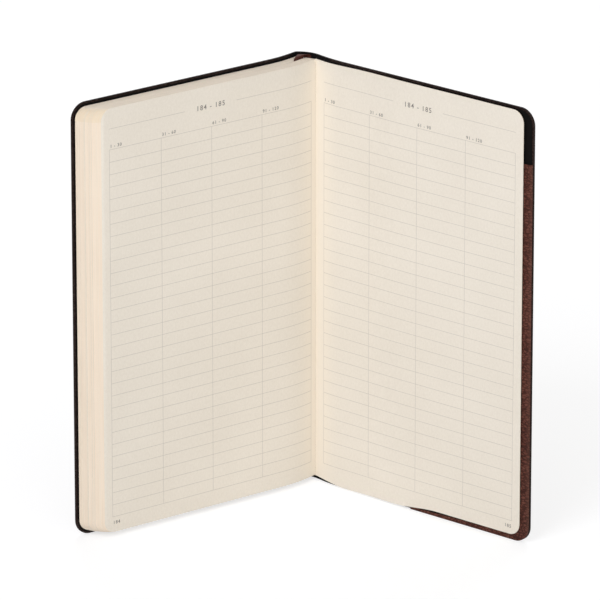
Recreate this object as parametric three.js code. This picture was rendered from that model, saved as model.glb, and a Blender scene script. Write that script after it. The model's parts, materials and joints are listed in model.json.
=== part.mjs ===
// Soft cover notebook with sewn sections, standing on its tail edges and open in a V at one spread.
// Seen from above, the front half lies to the left and the back half to the right of the spine.
// Everything is drawn in plan as layers beside two lines: the outer surface of the front cover, and
// the outer surface of the spine strip and the back cover. Units are millimetres and degrees.
import * as THREE from 'three';

// Paper
const pageWidth = 130;
const pageHeight = 210;
const pageCorner = 6;
const leafThickness = 0.095;
const sectionLeaves = 8;
const sectionCount = 12;
const gutterTuck = 3; // width of the spread's leaves that the fold swallows
const endpaperThickness = 0.15;
const pastedownInset = 1; // width of the cover's turned-in edge that stays bare
const rootInset = 0.8; // from the front hinge line to the paper
const tuckPower = 4; // the fold swallows most of it from the last leaves before the spread
const layerGap = 0.04; // air between layers that lie on each other

// Cover
const coverThickness = 0.9;
const coverSquare = 2; // how far the cover stands past the pages
const coverCorner = 8;
const hingeGap = 0.05; // between the cover's panels where they fold
const foldClearance = 0.85; // room for the spine strip to turn inside the back cover's hinge

// Shape of the opened book, as angles from the X axis
const frontOpening = 36.9;
const backOpening = 40;
const frontBend = 14.6; // how much steeper the front half leaves the spine
const frontBendLength = 21;
const backBend = 10.4;
const backBendLength = 20;
const spineStart = 4.8; // heading of the spine strip at the front hinge
const spineEnd = -47.4; // and at the back hinge
const spineLean = 14.3; // between the block's back and a line square to its leaves
const closedGap = 0.15; // between the two halves when the book is closed

// Sewing and lining at the block's back
const threadThickness = 0.3;
const threadStations = 5;
const threadWave = 0.9; // how far a link stitch swings up and down
const liningThickness = 0.15;
const liningInset = 22; // from head and tail
const liningGap = 0.06;

// Ribbon bookmark
const ribbonWidth = 6.5;
const ribbonThickness = 0.25;
const ribbonSlack = 0.2; // spare room in the slot between two sections
const ribbonAfterSection = 5;
const ribbonGlue = 16; // length glued behind the block
const ribbonRise = 1.5; // height of its bend over the head
const ribbonTailInset = 26; // where it ends, above the tail of the pages
const ribbonDip = 2; // height over which it turns down into its slot

// Corner pocket inside the back cover
const pocketWidth = 71.5; // along the tail edge
const pocketHeight = 187.6; // up the fore-edge
const pocketThickness = 0.6;
const pocketGap = 0.3; // room for a slip of paper
const pocketTip = 0.1; // width left off where its free edge starts

// Mesh fineness
const bendSteps = 12;
const cornerSteps = 8;
const spineSteps = 10;
const lineStep = 0.1;

const radians = THREE.MathUtils.degToRad;
const coverHeight = pageHeight + 2 * coverSquare;
const coverWidth = pageWidth + coverSquare;
const pageTail = coverSquare;
const pageHead = coverSquare + pageHeight;
const sectionThickness = sectionLeaves * leafThickness;
const halfThickness = (sectionLeaves / 2 - 1) * leafThickness;

const materials = {
  leather: new THREE.MeshStandardMaterial({ color: 0x5a3a32, roughness: 0.62, metalness: 0 }),
  blackPaper: new THREE.MeshStandardMaterial({ color: 0x1a1817, roughness: 0.85, metalness: 0 }),
  page: new THREE.MeshStandardMaterial({ color: 0xeae0d0, roughness: 0.9, metalness: 0 }),
  ribbon: new THREE.MeshStandardMaterial({ color: 0x4a2722, roughness: 0.55, metalness: 0 }),
  thread: new THREE.MeshStandardMaterial({ color: 0xe8e0cf, roughness: 0.8, metalness: 0 }),
  lining: new THREE.MeshStandardMaterial({ color: 0xd8d2c4, roughness: 0.9, metalness: 0 }),
};

// Falls smoothly from 1 to 0 as x goes from 0 to 1
const fall = (x) => 1 - THREE.MathUtils.smoothstep(x, 0, 1);

// A line in plan that turns as its heading says. Points beside it are given by the distance along
// it and the height above it, towards the reader. side is 1 where the reader is to its left.
class PlanLine {
  constructor(start, heading, length, side) {
    this.heading = heading;
    this.side = side;
    this.points = [start.clone()];
    const steps = Math.ceil(length / lineStep);
    for (let i = 0; i < steps; i++) {
      const turn = radians(heading((i + 0.5) * lineStep));
      const step = new THREE.Vector2(Math.cos(turn), Math.sin(turn)).multiplyScalar(lineStep);
      this.points.push(this.points[i].clone().add(step));
    }
  }

  direction(along) {
    const turn = radians(this.heading(Math.max(along, 0)));
    return new THREE.Vector2(Math.cos(turn), Math.sin(turn));
  }

  normal(along) {
    const d = this.direction(along);
    return new THREE.Vector2(-d.y, d.x).multiplyScalar(this.side);
  }

  at(along, height) {
    const last = this.points.length - 1;
    const index = THREE.MathUtils.clamp(Math.floor(along / lineStep), 0, last);
    const rest = along - index * lineStep;
    const base = this.points[index].clone().addScaledVector(this.direction(along), rest);
    return base.addScaledVector(this.normal(along), height);
  }
}

// The front line runs from the front hinge, at the origin, to the front cover's fore-edge
const frontHeading = (s) => 180 + frontOpening + frontBend * fall(s / frontBendLength);
const frontLine = new PlanLine(new THREE.Vector2(), frontHeading, coverWidth, 1);

// Heights of the front half's layers above the front line
const frontPastedownHeight = coverThickness + layerGap;
const frontFlyleafHeight = frontPastedownHeight + endpaperThickness + layerGap;
const blockHeight = frontFlyleafHeight + endpaperThickness + layerGap;
const sectionPitch = sectionThickness + layerGap;
const slotHeight = ribbonThickness + ribbonSlack;
const wholeSections = sectionCount - 1;
const sectionHeight = (index) =>
  blockHeight + index * sectionPitch + (index >= ribbonAfterSection ? slotHeight : 0);
const frontHalfHeight = sectionHeight(wholeSections);
const leftLeafHeight = frontHalfHeight + halfThickness + layerGap;
const leftPageHeight = leftLeafHeight + leafThickness;

// The block's back leans away from a line square to the leaves, as the sections step towards the
// opened side
const rootAlong = (height) =>
  rootInset - (height - blockHeight) * Math.tan(radians(spineLean));
const tuckAt = (height) => {
  const share = (height - blockHeight) / (leftPageHeight - blockHeight);
  return gutterTuck * share ** tuckPower;
};
const frontEdgeAlong = (height) =>
  pageWidth + rootAlong(height) - tuckAt(height) - height * radians(frontBend);
const gutter = frontLine.at(rootAlong(leftPageHeight), leftPageHeight);

// Heights of the back half's layers above the back line. Those over the pocket rise to clear it.
const backPastedownHeight = coverThickness + layerGap;
const pocketBase = backPastedownHeight + endpaperThickness + pocketGap;
const backFlyleafHeight = backPastedownHeight + endpaperThickness + layerGap;
const backHalfHeight = backFlyleafHeight + endpaperThickness + layerGap;
const rightLeafHeight = backHalfHeight + halfThickness + layerGap;
const rightPageHeight = rightLeafHeight + leafThickness;
const pocketClearance = pocketBase + pocketThickness + layerGap - backFlyleafHeight;

// The spine strip is as long as it must be for the back half's paper to meet the gutter
const spineTurn = radians(spineEnd - spineStart);
const unitSpine = new THREE.Vector2(
  (Math.sin(radians(spineEnd)) - Math.sin(radians(spineStart))) / spineTurn,
  (Math.cos(radians(spineStart)) - Math.cos(radians(spineEnd))) / spineTurn,
);
const backRootTurn = radians(-(backOpening + backBend));
const backRootNormal = new THREE.Vector2(Math.sin(backRootTurn), -Math.cos(backRootTurn));
const spineWidth =
  (gutter.dot(backRootNormal) - rightPageHeight - 2 * layerGap) / unitSpine.dot(backRootNormal);

const backHeading = (s) => {
  if (s < spineWidth) return spineStart + ((spineEnd - spineStart) * s) / spineWidth;
  return -(backOpening + backBend * fall((s - spineWidth) / backBendLength));
};
const backEnd = spineWidth + coverWidth;
const backLine = new PlanLine(new THREE.Vector2(), backHeading, backEnd, -1);
const backBendEnd = spineWidth + backBendLength;
const pocketStart = backEnd - pocketWidth;
const pocketRise = (along) => {
  const share = (along - backBendEnd) / (pocketStart - backBendEnd);
  return pocketClearance * (1 - fall(THREE.MathUtils.clamp(share, 0, 1)));
};

// Where a square line through the gutter meets the back line
const backRoot = backLine.at(spineWidth, 0);
const gutterAlong = spineWidth + gutter.clone().sub(backRoot).dot(backLine.direction(spineWidth));
const backEdgeAlong = gutterAlong + pageWidth - gutterTuck;

// The back half turns about a line in front of the gutter, set so that the two pages come to lie
// on each other, with their swell beside the gutter, when the book is closed
const swell = (line, height, from, to) => {
  const normal = line.normal(to);
  let most = 0;
  for (let along = from; along < to; along += 1) {
    const rise = line.at(along, height).sub(gutter).dot(normal);
    most = Math.max(most, rise);
  }
  return most;
};
const frontSwell = swell(frontLine, leftPageHeight, 0, coverWidth);
const backSwell = swell(backLine, rightPageHeight, spineWidth, pocketStart);
const pocketSwell = pocketClearance;
const towardsReader = frontLine.normal(coverWidth).add(backLine.normal(backEnd));
const foldReach = (frontSwell + backSwell + pocketSwell + closedGap) / towardsReader.length();
const foldAxis = gutter.clone().addScaledVector(towardsReader.clone().normalize(), foldReach);

// What turns with the back cover keeps outside a circle about that line, and what stays with the
// spine keeps inside it
const foldRadius = foldAxis.distanceTo(backRoot) + foldClearance;
function alongAtRadius(height, radius) {
  let low = spineWidth;
  let high = spineWidth + 3 * foldRadius;
  for (let along = low; along < high; along += 0.5) {
    const here = backLine.at(along, height).distanceTo(foldAxis);
    const next = backLine.at(along + 0.5, height).distanceTo(foldAxis);
    if (next > here) {
      low = along;
      break;
    }
  }
  for (let i = 0; i < 40; i++) {
    const middle = (low + high) / 2;
    if (backLine.at(middle, height).distanceTo(foldAxis) < radius) low = middle;
    else high = middle;
  }
  return low;
}
const stillEnd = (height) => alongAtRadius(height, foldRadius - hingeGap);
const turningStart = (height) => alongAtRadius(height, foldRadius + hingeGap);

// The back half's leaves all start square to their faces, so that each can lift off the next
const leafStart = turningStart(rightPageHeight);

// Distances along a line at which a layer has corners: close together up to each turn that is
// given, none where the layer is straight, and again round the corner of its outline
function stations(from, turns, to, corner) {
  const list = [];
  let last = from;
  for (const turn of turns) {
    for (let i = 0; i < bendSteps; i++) list.push(last + ((turn - last) * i) / bendSteps);
    last = turn;
  }
  list.push(last);
  for (let i = 0; i <= cornerSteps; i++) {
    const turn = ((Math.PI / 2) * i) / cornerSteps;
    list.push(to - corner * (1 - Math.sin(turn)));
  }
  return list;
}

// How far a rounded corner cuts in from head and tail, at a distance from the fore-edge
const cornerCut = (toEnd, corner) => {
  if (toEnd >= corner) return 0;
  return corner - Math.sqrt(Math.max(corner ** 2 - (corner - toEnd) ** 2, 0));
};

// A closed mesh through stations of four points each, in the order of a ring round the section
function loft(rings) {
  const positions = rings.flat().flatMap((p) => [p.x, p.y, p.z]);
  const index = [];
  const size = rings[0].length;
  for (let i = 0; i + 1 < rings.length; i++) {
    for (let j = 0; j < size; j++) {
      const a = i * size + j;
      const b = i * size + ((j + 1) % size);
      index.push(a, b, b + size, a, b + size, a + size);
    }
  }
  const last = (rings.length - 1) * size;
  for (let j = 1; j + 1 < size; j++) {
    index.push(0, j + 1, j);
    index.push(last, last + j, last + j + 1);
  }
  const geometry = new THREE.BufferGeometry();
  geometry.setAttribute('position', new THREE.Float32BufferAttribute(positions, 3));
  geometry.setIndex(index);
  if (signedVolume(geometry) < 0) geometry.setIndex(index.reverse());
  geometry.computeVertexNormals();
  return geometry;
}

function signedVolume(geometry) {
  const position = geometry.getAttribute('position');
  const [a, b, c] = [new THREE.Vector3(), new THREE.Vector3(), new THREE.Vector3()];
  let total = 0;
  for (let i = 0; i < geometry.index.count; i += 3) {
    a.fromBufferAttribute(position, geometry.index.getX(i));
    b.fromBufferAttribute(position, geometry.index.getX(i + 1));
    c.fromBufferAttribute(position, geometry.index.getX(i + 2));
    total += a.dot(b.cross(c));
  }
  return total / 6;
}

// One ring of a layer, from its lower face to its upper one
const ring = (near, far) => [
  new THREE.Vector3(near.point.x, near.point.y, near.low),
  new THREE.Vector3(near.point.x, near.point.y, near.high),
  new THREE.Vector3(far.point.x, far.point.y, far.high),
  new THREE.Vector3(far.point.x, far.point.y, far.low),
];

// A layer beside a line, between two faces that each have a height and a start and end of their own
function layer(line, faces, turns, { corner, tail, head }) {
  const [below, above] = faces.map(({ height, from, to }) =>
    stations(from, turns, to, corner).map((along) => {
      const cut = cornerCut(to - along, corner);
      return { point: line.at(along, height(along)), low: tail + cut, high: head(along) - cut };
    }),
  );
  return loft(below.map((near, i) => ring(near, above[i])));
}

const notebook = new THREE.Group();
const book = new THREE.Group();
notebook.add(book);

function addPiece(name, geometry, material) {
  const mesh = new THREE.Mesh(geometry, material);
  mesh.name = name;
  book.add(mesh);
  return mesh;
}

// Panels and pastedowns reach the cover's outline, and leaves reach that of the pages
const coverOutline = { corner: coverCorner, tail: 0, head: () => coverHeight };
const pageOutline = { corner: pageCorner, tail: pageTail, head: () => pageHead };
const pastedownOutline = {
  corner: coverCorner - pastedownInset,
  tail: pastedownInset,
  head: () => coverHeight - pastedownInset,
};

function addFrontPanel(name, material, height, thickness, start, outline, inset) {
  const face = (h) => ({ height: () => h, from: start(h), to: coverWidth - inset });
  const faces = [face(height), face(height + thickness)];
  addPiece(name, layer(frontLine, faces, [frontBendLength], outline), material);
}

function addBackPanel(name, material, height, thickness, outline, inset) {
  const face = (h) => ({ height: () => h, from: turningStart(h), to: backEnd - inset });
  const faces = [face(height), face(height + thickness)];
  addPiece(name, layer(backLine, faces, [backBendEnd], outline), material);
}

function addFrontLeaves(name, material, height, thickness) {
  const face = (h) => ({ height: () => h, from: rootAlong(h), to: frontEdgeAlong(h) });
  const faces = [face(height), face(height + thickness)];
  addPiece(name, layer(frontLine, faces, [frontBendLength], pageOutline), material);
}

function addBackLeaves(name, material, height, thickness) {
  const face = (h) => ({
    height: (along) => h + pocketRise(along),
    from: leafStart,
    to: backEdgeAlong,
  });
  const faces = [face(height), face(height + thickness)];
  addPiece(name, layer(backLine, faces, [backBendEnd, pocketStart], pageOutline), material);
}

// A square-ended strip along part of the back line
function stillStrip(height, thickness, from, tail, head) {
  const faceEnd = [stillEnd(height), stillEnd(height + thickness)];
  const faceStart = [from(height), from(height + thickness)];
  const rings = [];
  const steps = spineSteps + bendSteps;
  for (let i = 0; i <= steps; i++) {
    const [near, far] = [0, 1].map((k) => {
      const along = faceStart[k] + ((faceEnd[k] - faceStart[k]) * i) / steps;
      return { point: backLine.at(along, height + k * thickness), low: tail, high: head };
    });
    rings.push(ring(near, far));
  }
  return loft(rings);
}

// Where the front cover and the spine strip meet at the front hinge, both are mitred
const insideAngle = radians(360 - (frontHeading(0) - spineStart));
const mitre = (height) => height / Math.tan(insideAngle / 2) + hingeGap;

function addCover() {
  const leather = materials.leather;
  addFrontPanel('front_cover_skin', leather, 0, coverThickness, mitre, coverOutline, 0);
  addPiece('spine_skin', stillStrip(0, coverThickness, mitre, 0, coverHeight), leather);
  addBackPanel('back_cover_skin', leather, 0, coverThickness, coverOutline, 0);
}

function addEndpapers() {
  const inset = () => rootInset;
  const thickness = endpaperThickness;
  const black = materials.blackPaper;
  const outline = pastedownOutline;
  const bare = pastedownInset;
  addFrontPanel('front_pastedown', black, frontPastedownHeight, thickness, inset, outline, bare);
  addBackPanel('back_pastedown', black, backPastedownHeight, thickness, outline, bare);
  addFrontLeaves('front_flyleaf', black, frontFlyleafHeight, thickness);
  addBackLeaves('back_flyleaf', black, backFlyleafHeight, thickness);
}

// The pocket's free edge is a quarter ellipse, so it leaves the tail edge and the fore-edge square
function addPocket() {
  const face = (height) => ({ height: () => height, from: pocketStart + pocketTip, to: backEnd });
  const faces = [face(pocketBase), face(pocketBase + pocketThickness)];
  const head = (along) => {
    const toEnd = backEnd - along;
    const share = Math.sqrt(Math.max(1 - (toEnd / pocketWidth) ** 2, 0));
    return pocketHeight * share + cornerCut(toEnd, coverCorner);
  };
  const outline = { corner: coverCorner, tail: 0, head };
  // Corners are closest where the free edge is steep
  const turns = [
    pocketStart + pocketWidth / 40,
    pocketStart + pocketWidth / 6,
    backEnd - 1.5 * coverCorner,
  ];
  addPiece('corner_pocket', layer(backLine, faces, turns, outline), materials.leather);
}

// Sections lie in the front half, but for the last, which is opened at its middle
function addSections() {
  for (let i = 0; i < wholeSections; i++) {
    const name = `section_${String(i + 1).padStart(2, '0')}`;
    addFrontLeaves(name, materials.page, sectionHeight(i), sectionThickness);
  }
  const last = `section_${String(sectionCount).padStart(2, '0')}`;
  addFrontLeaves(`${last}_front`, materials.page, frontHalfHeight, halfThickness);
  addFrontLeaves('left_leaf', materials.page, leftLeafHeight, leafThickness);
  addBackLeaves(`${last}_back`, materials.page, backHalfHeight, halfThickness);
  addBackLeaves('right_leaf', materials.page, rightLeafHeight, leafThickness);
  const foldThickness = rightPageHeight - backHalfHeight;
  const start = () => gutterAlong + 2 * layerGap;
  addPiece(
    `${last}_fold`,
    stillStrip(backHalfHeight, foldThickness, start, pageTail, pageHead),
    materials.page,
  );
}

// A point behind the block's back, at a height in the block and a depth behind it
function behindBlock(height, depth) {
  const point = frontLine.at(rootAlong(height), height);
  const start = frontLine.at(rootAlong(blockHeight), blockHeight);
  const back = gutter.clone().sub(start).normalize();
  return point.add(new THREE.Vector2(-back.y, back.x).multiplyScalar(depth));
}

// Link stitches run across the backs of all the sections
function addSewing() {
  const depth = liningGap + threadThickness / 2;
  const side = threadThickness / 2;
  const section = new THREE.Shape();
  for (let k = 0; k < 6; k++) {
    const turn = (k * Math.PI) / 3;
    const [x, y] = [side * Math.cos(turn), side * Math.sin(turn)];
    if (k === 0) section.moveTo(x, y);
    else section.lineTo(x, y);
  }
  section.closePath();
  const spacing = (pageHeight - 2 * liningInset) / (threadStations + 1);
  for (let n = 1; n <= threadStations; n++) {
    const z = pageTail + liningInset + n * spacing;
    const points = [];
    for (let i = 0; i < sectionCount; i++) {
      const middle = sectionHeight(Math.min(i, wholeSections)) + sectionThickness / 3;
      const point = behindBlock(middle, depth);
      const wave = i % 2 === 0 ? threadWave : -threadWave;
      points.push(new THREE.Vector3(point.x, point.y, z + wave));
    }
    const path = new THREE.CatmullRomCurve3(points);
    const steps = 2 * sectionCount;
    const shape = new THREE.ExtrudeGeometry(section, { steps, extrudePath: path });
    addPiece(`sewing_thread_${n}`, shape, materials.thread);
  }
}

function addSpineLining() {
  const near = 2 * liningGap + threadThickness;
  const far = near + liningThickness;
  const rings = [blockHeight, leftPageHeight].map((height) => {
    const [a, b] = [near, far].map((depth) => ({
      point: behindBlock(height, depth),
      low: pageTail + liningInset,
      high: pageHead - liningInset,
    }));
    return ring(a, b);
  });
  addPiece('spine_lining', loft(rings), materials.lining);
}

// The ribbon is glued behind the block, bends over its head and runs down between two sections
function addRibbon() {
  const slotMiddle = sectionHeight(ribbonAfterSection) - (slotHeight + layerGap) / 2;
  const slotStart = rootInset;
  const stripHeight = coverThickness + ribbonThickness;
  const stripStart = spineWidth / 6;
  const slot = [0, 1].map((k) => frontLine.at(slotStart + k * ribbonWidth, slotMiddle));
  const strip = [1, 0].map((k) => backLine.at(stripStart + k * ribbonWidth, stripHeight));
  const route = [
    [0, pageHead - ribbonGlue],
    [0, pageHead - ribbonDip / 2],
    [0, pageHead + 0.2 * ribbonRise],
    [0.06, pageHead + 0.6 * ribbonRise],
    [0.2, pageHead + 0.9 * ribbonRise],
    [0.45, pageHead + ribbonRise],
    [0.7, pageHead + 0.95 * ribbonRise],
    [0.9, pageHead + 0.75 * ribbonRise],
    [0.98, pageHead + 0.45 * ribbonRise],
    [1, pageHead],
    [1, pageHead - ribbonDip],
    [1, pageTail + ribbonTailInset],
  ];
  const centre = route.map(([share, z]) =>
    slot.map((end, k) => {
      const point = strip[k].clone().lerp(end, share);
      return new THREE.Vector3(point.x, point.y, z);
    }),
  );
  const rings = centre.map(([a, b], i) => {
    const before = centre[Math.max(i - 1, 0)];
    const after = centre[Math.min(i + 1, centre.length - 1)];
    const run = after[0].clone().add(after[1]).sub(before[0]).sub(before[1]);
    const across = b.clone().sub(a);
    const half = run.cross(across).normalize().multiplyScalar(ribbonThickness / 2);
    return [
      a.clone().add(half),
      b.clone().add(half),
      b.clone().sub(half),
      a.clone().sub(half),
    ];
  });
  addPiece('ribbon_bookmark', loft(rings), materials.ribbon);
}

addCover();
addEndpapers();
addPocket();
addSections();
addSewing();
addSpineLining();
addRibbon();

// The origin lies under the middle of the whole, on the surface that the notebook stands on
const box = new THREE.Box3().setFromObject(book);
const centre = box.getCenter(new THREE.Vector3());
book.position.set(-centre.x, -centre.y, -box.min.z);

// Hinge lines are upright, and each is given by the point where it meets the ground
const onGround = (point) => [point.x - centre.x, point.y - centre.y, 0];
const face = (line, along) => {
  const point = line.at(along, 0);
  const out = line.normal(along).negate();
  return { point: [...onGround(point).slice(0, 2), coverHeight / 2], out: [out.x, out.y, 0] };
};
const frontMiddle = (frontBendLength + coverWidth) / 2;
const backMiddle = (backBendEnd + backEnd) / 2;
notebook.userData = {
  hinges: {
    frontCover: onGround(frontLine.at(0, 0)),
    frontFlyleaf: onGround(frontLine.at(rootInset, frontFlyleafHeight)),
    leftLeaf: onGround(gutter),
    backCover: onGround(foldAxis),
    backSection: onGround(backLine.at(leafStart, rightPageHeight)),
    backFlyleaf: onGround(backLine.at(leafStart, backHalfHeight - layerGap)),
    rightLeaf: onGround(backLine.at(leafStart, rightPageHeight)),
  },
  faces: { front: face(frontLine, frontMiddle), back: face(backLine, backMiddle) },
  closingAngle: 180 - frontOpening - backOpening,
};

export default notebook;
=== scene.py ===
import json
import math
import random

import bpy
import numpy as np
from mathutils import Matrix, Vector


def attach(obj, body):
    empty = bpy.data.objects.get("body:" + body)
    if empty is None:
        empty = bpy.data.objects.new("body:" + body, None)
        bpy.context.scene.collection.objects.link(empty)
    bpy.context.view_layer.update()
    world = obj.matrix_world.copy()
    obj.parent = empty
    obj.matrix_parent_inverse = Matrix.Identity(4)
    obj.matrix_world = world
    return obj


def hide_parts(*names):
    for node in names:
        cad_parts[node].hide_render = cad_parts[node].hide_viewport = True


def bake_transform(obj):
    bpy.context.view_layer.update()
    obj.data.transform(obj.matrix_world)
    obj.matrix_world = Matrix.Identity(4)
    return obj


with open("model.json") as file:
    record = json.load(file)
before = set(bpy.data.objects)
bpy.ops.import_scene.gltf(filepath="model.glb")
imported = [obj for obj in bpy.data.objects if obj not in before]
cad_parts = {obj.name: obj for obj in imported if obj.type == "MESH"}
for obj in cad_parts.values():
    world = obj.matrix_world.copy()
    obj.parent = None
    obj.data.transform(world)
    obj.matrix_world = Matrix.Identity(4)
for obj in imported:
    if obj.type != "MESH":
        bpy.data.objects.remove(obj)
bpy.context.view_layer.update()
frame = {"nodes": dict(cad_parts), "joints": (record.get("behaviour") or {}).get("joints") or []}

# Lengths are in millimetres and angles in degrees. METRE turns a length into the frame's unit.
METRE = 0.001

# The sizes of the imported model
PAGE_WIDTH, PAGE_HEIGHT, PAGE_CORNER = 130, 210, 6
LEAF, SECTION_LEAVES, SECTIONS = 0.095, 8, 12
GUTTER_TUCK, TUCK_POWER = 3, 4
ENDPAPER, LAYER_GAP, ROOT_INSET = 0.15, 0.04, 0.8
COVER, SQUARE, COVER_CORNER = 0.9, 2, 8
HINGE_GAP, FOLD_CLEARANCE = 0.05, 0.85
FRONT_OPENING, BACK_OPENING = 36.9, 40
FRONT_BEND, FRONT_BEND_LENGTH = 14.6, 21
BACK_BEND, BACK_BEND_LENGTH = 10.4, 20
SPINE_START, SPINE_END, SPINE_LEAN = 4.8, -47.4, 14.3
RIBBON_WIDTH, RIBBON_THICKNESS, RIBBON_SLACK, RIBBON_AFTER = 6.5, 0.25, 0.2, 5
RIBBON_GLUE, RIBBON_RISE, RIBBON_TAIL, RIBBON_DIP = 16, 1.5, 26, 2
POCKET_WIDTH, POCKET_HEIGHT, POCKET_THICKNESS, POCKET_GAP = 71.5, 187.6, 0.6, 0.3
POCKET_TIP = 0.1

COVER_WIDTH, COVER_HEIGHT = PAGE_WIDTH + SQUARE, PAGE_HEIGHT + 2 * SQUARE
PAGE_TAIL, PAGE_HEAD = SQUARE, SQUARE + PAGE_HEIGHT
HALF_LEAVES = SECTION_LEAVES // 2 - 1  # of the opened section, under the leaf that shows
SECTION, HALF = SECTION_LEAVES * LEAF, HALF_LEAVES * LEAF

# How unevenly the leaves end at the fore-edge, tail and head, and the air between them
EDGE_SPREAD, TAIL_SPREAD, HEAD_SPREAD = 0.05, (-0.03, 0.05), (-0.05, 0.03)
LEAF_AIR = 0.008

# The right-hand leaves stand a little high away from the gutter, and sag at their tail
LIFT, LIFT_LENGTH = 0.8, 40
SAG, SAG_LENGTH, SAG_AT_GUTTER = 2.35, 22, 0.1
SAG_BEFORE_POCKET, SAG_END_LENGTH = 11, 28

# How far the ribbon holds its slot open, how long the slot takes to close, and where it is closed
SLOT_OPEN, SLOT_CLOSING, SLOT_CLOSED = 1.6 * RIBBON_WIDTH, 4 * RIBBON_WIDTH, 6 * RIBBON_WIDTH

# The ribbon is a little thinner than its solid, and more so at its selvedges
RIBBON_HALF, SELVEDGE_THINNING, SELVEDGE_POWER = RIBBON_THICKNESS * 0.42, 0.25, 6

# How far the cover's round fold goes past its mitre, and the black inside past the back fold
FOLD_REACH, BLACK_REACH = 0.5, 0.6
COVER_BEVEL, POCKET_BEVEL = 0.16, 0.12

# Distances before and after a piece's fold, where its turn would start and end; blended, which
# gets them, only bakes the piece's transform.
FRONT_LEATHER_TURN, BACK_LEATHER_TURN = (0.6, 0.9), (0.67, 1.35)
LEFT_PAGE_TURN_END, FRONT_FLYLEAF_TURN_END = 4.0, 3.5
RIGHT_TURN_LENGTH, OPEN_FOLD_SPARE = 3, 0.5

# Printing on a page, from its outer edge and from its head. The ink lies a little over the paper.
RULE_WIDTH, RULE_SOFTNESS, ROW, ROWS = 0.2, 0.05, 6.07, 30
HEADER, TABLE_TOP = 10.0, 20.2
TABLE_END = TABLE_TOP + ROWS * ROW
COLUMNS = (4.6, 34.2, 63.3, 92.6, 121.0)
TITLE_GAP, TITLE_DROP = 15.0, 1.1  # beside the heading's middle and under its line
NUMBER_INSET, NUMBER_DOWN = 0.2, 206
CAPTION_INSET, CAPTION_RISE = 0.4, 0.9
TITLE_SIZE, NUMBER_SIZE, CAPTION_SIZE = 3.4, 2.3, 2.2
LETTER_SPACING, LETTER_WEIGHT, INK_HEIGHT = 1.25, 0.035, 0.02

# Fineness of the meshes: a length along a line, and numbers of steps and points
LINE_STEP = 0.1
BEND_STEPS, LONG_BEND_STEPS, CORNER_STEPS = 10, 14, 12
FRONT_COVER_STEPS, BACK_COVER_STEPS, COVER_CORNER_STEPS = 16, 18, 14
COVER_FOLD_STEPS, STRIP_POINTS = 8, 8
RIBBON_COLUMNS, RIBBON_STEPS = 6, 4
FINE_PAST_POCKET = 30  # how far past the pocket's start the leaves over it have short steps


def joint_point(name):
    """A hinge line's place in plan."""
    pos = next(j for j in frame["joints"] if j["name"] == name)["pos_m"]
    return np.array(pos[:2]) / METRE


def fall(x):
    """Falls smoothly from 1 to 0 as x goes from 0 to 1."""
    x = np.clip(x, 0, 1)
    return 1 - x * x * (3 - 2 * x)


class PlanLine:
    """A line in plan that turns as its heading says. Layers lie at heights beside it."""

    def __init__(self, start, heading, length, side):
        self.heading, self.side = heading, side
        steps = math.ceil(length / LINE_STEP)
        turn = np.radians(heading((np.arange(steps) + 0.5) * LINE_STEP))
        moves = np.stack([np.cos(turn), np.sin(turn)], -1) * LINE_STEP
        self.points = np.vstack([start, np.asarray(start) + np.cumsum(moves, 0)])

    def direction(self, along):
        turn = np.radians(self.heading(np.maximum(along, 0.0)))
        return np.stack([np.cos(turn), np.sin(turn)], -1)

    def normal(self, along):
        d = self.direction(along)
        return np.stack([-d[..., 1], d[..., 0]], -1) * self.side

    def at(self, along, height):
        along = np.asarray(along, float)
        index = np.clip(np.floor(along / LINE_STEP).astype(int), 0, len(self.points) - 1)
        rest = (along - index * LINE_STEP)[..., None]
        here = self.points[index] + self.direction(along) * rest
        return here + self.normal(along) * np.asarray(height, float)[..., None]


FRONT_HINGE = joint_point("front_cover_hinge")
GUTTER = joint_point("left_leaf_hinge")
FOLD_AXIS = joint_point("back_cover_hinge")


# The front line is the outer surface of the front cover, from its hinge
def front_heading(s):
    return 180 + FRONT_OPENING + FRONT_BEND * fall(s / FRONT_BEND_LENGTH)


front = PlanLine(FRONT_HINGE, front_heading, COVER_WIDTH, 1)

# Heights of the front half's layers
front_flyleaf = COVER + ENDPAPER + 2 * LAYER_GAP
block = front_flyleaf + ENDPAPER + LAYER_GAP
slot = RIBBON_THICKNESS + RIBBON_SLACK


def section_height(i):
    return block + i * (SECTION + LAYER_GAP) + (slot if i >= RIBBON_AFTER else 0)


front_half = section_height(SECTIONS - 1)
left_leaf = front_half + HALF + LAYER_GAP
left_page = left_leaf + LEAF


# The leaves' roots step back, and the last of them are drawn into the gutter
def root_along(h):
    return ROOT_INSET - (h - block) * math.tan(math.radians(SPINE_LEAN))


def front_edge(h):
    share = (h - block) / (left_page - block)
    tuck = GUTTER_TUCK * np.maximum(share, 0) ** TUCK_POWER
    return PAGE_WIDTH + root_along(h) - tuck - h * math.radians(FRONT_BEND)


# Heights of the back half's layers
pocket_base = COVER + ENDPAPER + LAYER_GAP + POCKET_GAP
back_flyleaf = COVER + ENDPAPER + 2 * LAYER_GAP
back_half = back_flyleaf + ENDPAPER + LAYER_GAP
right_leaf = back_half + HALF + LAYER_GAP
right_page = right_leaf + LEAF
pocket_clearance = pocket_base + POCKET_THICKNESS + LAYER_GAP - back_flyleaf


def solved_spine_width():
    """The width at which the back half's pages meet the front half's in the gutter."""
    start, end = math.radians(SPINE_START), math.radians(SPINE_END)
    run = [math.sin(end) - math.sin(start), math.cos(start) - math.cos(end)]
    unit = np.array(run) / (end - start)
    root = math.radians(-(BACK_OPENING + BACK_BEND))
    normal = np.array([math.sin(root), -math.cos(root)])
    room = (GUTTER - FRONT_HINGE) @ normal - right_page - 2 * LAYER_GAP
    return room / (unit @ normal)


spine_width = solved_spine_width()


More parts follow.
